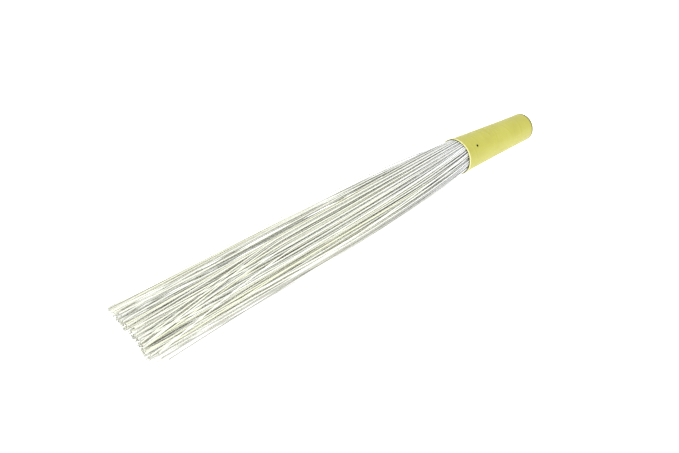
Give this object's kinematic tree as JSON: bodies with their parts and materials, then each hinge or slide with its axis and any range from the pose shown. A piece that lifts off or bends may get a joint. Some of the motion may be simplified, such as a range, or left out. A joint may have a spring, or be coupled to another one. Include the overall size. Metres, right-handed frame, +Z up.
{
  "type": "wire drum brush",
  "caption": "Drum brush lying flat: a short yellow vinyl grip, tapered and closed at one end, holds a bundle of thin straight springy wires that open into a wide low fan.",
  "frame": {"origin": "on the surface that the brush lies on, below the middle of its bounding box", "axes": "+X along the brush, towards the closed end of the grip; -X towards the wire tips; +Z up from the surface; +Y across the fan"},
  "size_m": [0.37, 0.0612, 0.0284],
  "materials": {
    "yellow_vinyl": "satin soft vinyl with fine cross creases",
    "clear_nylon_wire": "translucent pale ivory filament",
    "ferrule_aluminium": "plain drawn tube",
    "potting_resin": "pale hard cast resin",
    "dowel_wood": "bare turned hardwood",
    "dark_pin_steel": "blackened steel"
  },
  "bodies": {
    "handle": {"grip_sleeve": "yellow_vinyl", "ferrule_tube": "ferrule_aluminium", "root_potting": "potting_resin", "core_dowel": "dowel_wood", "retaining_pin": "dark_pin_steel"},
    "tuft_top_1": {"tuft_top_1": "clear_nylon_wire"},
    "tuft_top_2": {"tuft_top_2": "clear_nylon_wire"},
    "tuft_top_3": {"tuft_top_3": "clear_nylon_wire"},
    "tuft_upper_1": {"tuft_upper_1": "clear_nylon_wire"},
    "tuft_upper_2": {"tuft_upper_2": "clear_nylon_wire"},
    "tuft_upper_3": {"tuft_upper_3": "clear_nylon_wire"},
    "tuft_upper_4": {"tuft_upper_4": "clear_nylon_wire"},
    "tuft_middle_1": {"tuft_middle_1": "clear_nylon_wire"},
    "tuft_middle_2": {"tuft_middle_2": "clear_nylon_wire"},
    "tuft_middle_3": {"tuft_middle_3": "clear_nylon_wire"},
    "tuft_middle_4": {"tuft_middle_4": "clear_nylon_wire"},
    "tuft_middle_5": {"tuft_middle_5": "clear_nylon_wire"},
    "tuft_lower_1": {"tuft_lower_1": "clear_nylon_wire"},
    "tuft_lower_2": {"tuft_lower_2": "clear_nylon_wire"},
    "tuft_lower_3": {"tuft_lower_3": "clear_nylon_wire"},
    "tuft_lower_4": {"tuft_lower_4": "clear_nylon_wire"},
    "tuft_bottom_1": {"tuft_bottom_1": "clear_nylon_wire"},
    "tuft_bottom_2": {"tuft_bottom_2": "clear_nylon_wire"},
    "tuft_bottom_3": {"tuft_bottom_3": "clear_nylon_wire"}
  },
  "joints": [
    {"name": "tuft_middle_3_flex", "type": "hinge", "parent": "handle", "child": "tuft_middle_3", "pos_m": [0.09949, 0, 0.01417], "axis": [0, 1, 0], "range_deg": [-7, 35], "stiffness_Nm_per_rad": 0.0075},
    {"name": "tuft_top_1_flex", "type": "hinge", "parent": "handle", "child": "tuft_top_1", "pos_m": [0.0998, -0.005, 0.02283], "axis": [0, 0.9999, 0.015], "range_deg": [-7.1, 35.3], "stiffness_Nm_per_rad": 0.0075},
    {"name": "tuft_top_2_flex", "type": "hinge", "parent": "handle", "child": "tuft_top_2", "pos_m": [0.0998, 0, 0.02283], "axis": [0, 1, 0], "range_deg": [-7.1, 35.3], "stiffness_Nm_per_rad": 0.0075},
    {"name": "tuft_top_3_flex", "type": "hinge", "parent": "handle", "child": "tuft_top_3", "pos_m": [0.0998, 0.005, 0.02283], "axis": [0, 0.9999, -0.015], "range_deg": [-7.1, 35.3], "stiffness_Nm_per_rad": 0.0075},
    {"name": "tuft_upper_1_flex", "type": "hinge", "parent": "handle", "child": "tuft_upper_1", "pos_m": [0.09965, -0.0075, 0.0185], "axis": [0, 0.9997, 0.0225], "range_deg": [-7.1, 35.3], "stiffness_Nm_per_rad": 0.0075},
    {"name": "tuft_upper_2_flex", "type": "hinge", "parent": "handle", "child": "tuft_upper_2", "pos_m": [0.09965, -0.0025, 0.0185], "axis": [0, 1, 0.0075], "range_deg": [-7.1, 35.3], "stiffness_Nm_per_rad": 0.0075},
    {"name": "tuft_upper_3_flex", "type": "hinge", "parent": "handle", "child": "tuft_upper_3", "pos_m": [0.09965, 0.0025, 0.0185], "axis": [0, 1, -0.0075], "range_deg": [-7.1, 35.3], "stiffness_Nm_per_rad": 0.0075},
    {"name": "tuft_upper_4_flex", "type": "hinge", "parent": "handle", "child": "tuft_upper_4", "pos_m": [0.09965, 0.0075, 0.0185], "axis": [0, 0.9997, -0.0225], "range_deg": [-7.1, 35.3], "stiffness_Nm_per_rad": 0.0075},
    {"name": "tuft_middle_1_flex", "type": "hinge", "parent": "handle", "child": "tuft_middle_1", "pos_m": [0.09949, -0.01, 0.01417], "axis": [0, 0.9996, 0.03], "range_deg": [-7.1, 35.3], "stiffness_Nm_per_rad": 0.0075},
    {"name": "tuft_middle_2_flex", "type": "hinge", "parent": "handle", "child": "tuft_middle_2", "pos_m": [0.09949, -0.005, 0.01417], "axis": [0, 0.9999, 0.015], "range_deg": [-7.1, 35.3], "stiffness_Nm_per_rad": 0.0075},
    {"name": "tuft_middle_4_flex", "type": "hinge", "parent": "handle", "child": "tuft_middle_4", "pos_m": [0.09949, 0.005, 0.01417], "axis": [0, 0.9999, -0.015], "range_deg": [-7.1, 35.3], "stiffness_Nm_per_rad": 0.0075},
    {"name": "tuft_middle_5_flex", "type": "hinge", "parent": "handle", "child": "tuft_middle_5", "pos_m": [0.09949, 0.01, 0.01417], "axis": [0, 0.9996, -0.03], "range_deg": [-7.1, 35.3], "stiffness_Nm_per_rad": 0.0075},
    {"name": "tuft_lower_1_flex", "type": "hinge", "parent": "handle", "child": "tuft_lower_1", "pos_m": [0.09933, -0.0075, 0.00984], "axis": [0, 0.9997, 0.0225], "range_deg": [-7.1, 35.3], "stiffness_Nm_per_rad": 0.0075},
    {"name": "tuft_lower_2_flex", "type": "hinge", "parent": "handle", "child": "tuft_lower_2", "pos_m": [0.09933, -0.0025, 0.00984], "axis": [0, 1, 0.0075], "range_deg": [-7.1, 35.3], "stiffness_Nm_per_rad": 0.0075},
    {"name": "tuft_lower_3_flex", "type": "hinge", "parent": "handle", "child": "tuft_lower_3", "pos_m": [0.09933, 0.0025, 0.00984], "axis": [0, 1, -0.0075], "range_deg": [-7.1, 35.3], "stiffness_Nm_per_rad": 0.0075},
    {"name": "tuft_lower_4_flex", "type": "hinge", "parent": "handle", "child": "tuft_lower_4", "pos_m": [0.09933, 0.0075, 0.00984], "axis": [0, 0.9997, -0.0225], "range_deg": [-7.1, 35.3], "stiffness_Nm_per_rad": 0.0075},
    {"name": "tuft_bottom_1_flex", "type": "hinge", "parent": "handle", "child": "tuft_bottom_1", "pos_m": [0.09918, -0.005, 0.00552], "axis": [0, 0.9999, 0.015], "range_deg": [-7.1, 35.3], "stiffness_Nm_per_rad": 0.0075},
    {"name": "tuft_bottom_2_flex", "type": "hinge", "parent": "handle", "child": "tuft_bottom_2", "pos_m": [0.09918, 0, 0.00552], "axis": [0, 1, 0], "range_deg": [-7.1, 35.3], "stiffness_Nm_per_rad": 0.0075},
    {"name": "tuft_bottom_3_flex", "type": "hinge", "parent": "handle", "child": "tuft_bottom_3", "pos_m": [0.09918, 0.005, 0.00552], "axis": [0, 0.9999, -0.015], "range_deg": [-7.1, 35.3], "stiffness_Nm_per_rad": 0.0075}
  ],
  "couplings": [
    {"joint": "tuft_top_1_flex", "follows": "tuft_middle_3_flex", "ratio": 1.0001},
    {"joint": "tuft_top_2_flex", "follows": "tuft_middle_3_flex", "ratio": 1},
    {"joint": "tuft_top_3_flex", "follows": "tuft_middle_3_flex", "ratio": 1.0001},
    {"joint": "tuft_upper_1_flex", "follows": "tuft_middle_3_flex", "ratio": 1.0003},
    {"joint": "tuft_upper_2_flex", "follows": "tuft_middle_3_flex", "ratio": 1},
    {"joint": "tuft_upper_3_flex", "follows": "tuft_middle_3_flex", "ratio": 1},
    {"joint": "tuft_upper_4_flex", "follows": "tuft_middle_3_flex", "ratio": 1.0003},
    {"joint": "tuft_middle_1_flex", "follows": "tuft_middle_3_flex", "ratio": 1.0005},
    {"joint": "tuft_middle_2_flex", "follows": "tuft_middle_3_flex", "ratio": 1.0001},
    {"joint": "tuft_middle_4_flex", "follows": "tuft_middle_3_flex", "ratio": 1.0001},
    {"joint": "tuft_middle_5_flex", "follows": "tuft_middle_3_flex", "ratio": 1.0005},
    {"joint": "tuft_lower_1_flex", "follows": "tuft_middle_3_flex", "ratio": 1.0003},
    {"joint": "tuft_lower_2_flex", "follows": "tuft_middle_3_flex", "ratio": 1},
    {"joint": "tuft_lower_3_flex", "follows": "tuft_middle_3_flex", "ratio": 1},
    {"joint": "tuft_lower_4_flex", "follows": "tuft_middle_3_flex", "ratio": 1.0003},
    {"joint": "tuft_bottom_1_flex", "follows": "tuft_middle_3_flex", "ratio": 1.0001},
    {"joint": "tuft_bottom_2_flex", "follows": "tuft_middle_3_flex", "ratio": 1},
    {"joint": "tuft_bottom_3_flex", "follows": "tuft_middle_3_flex", "ratio": 1.0001}
  ]
}
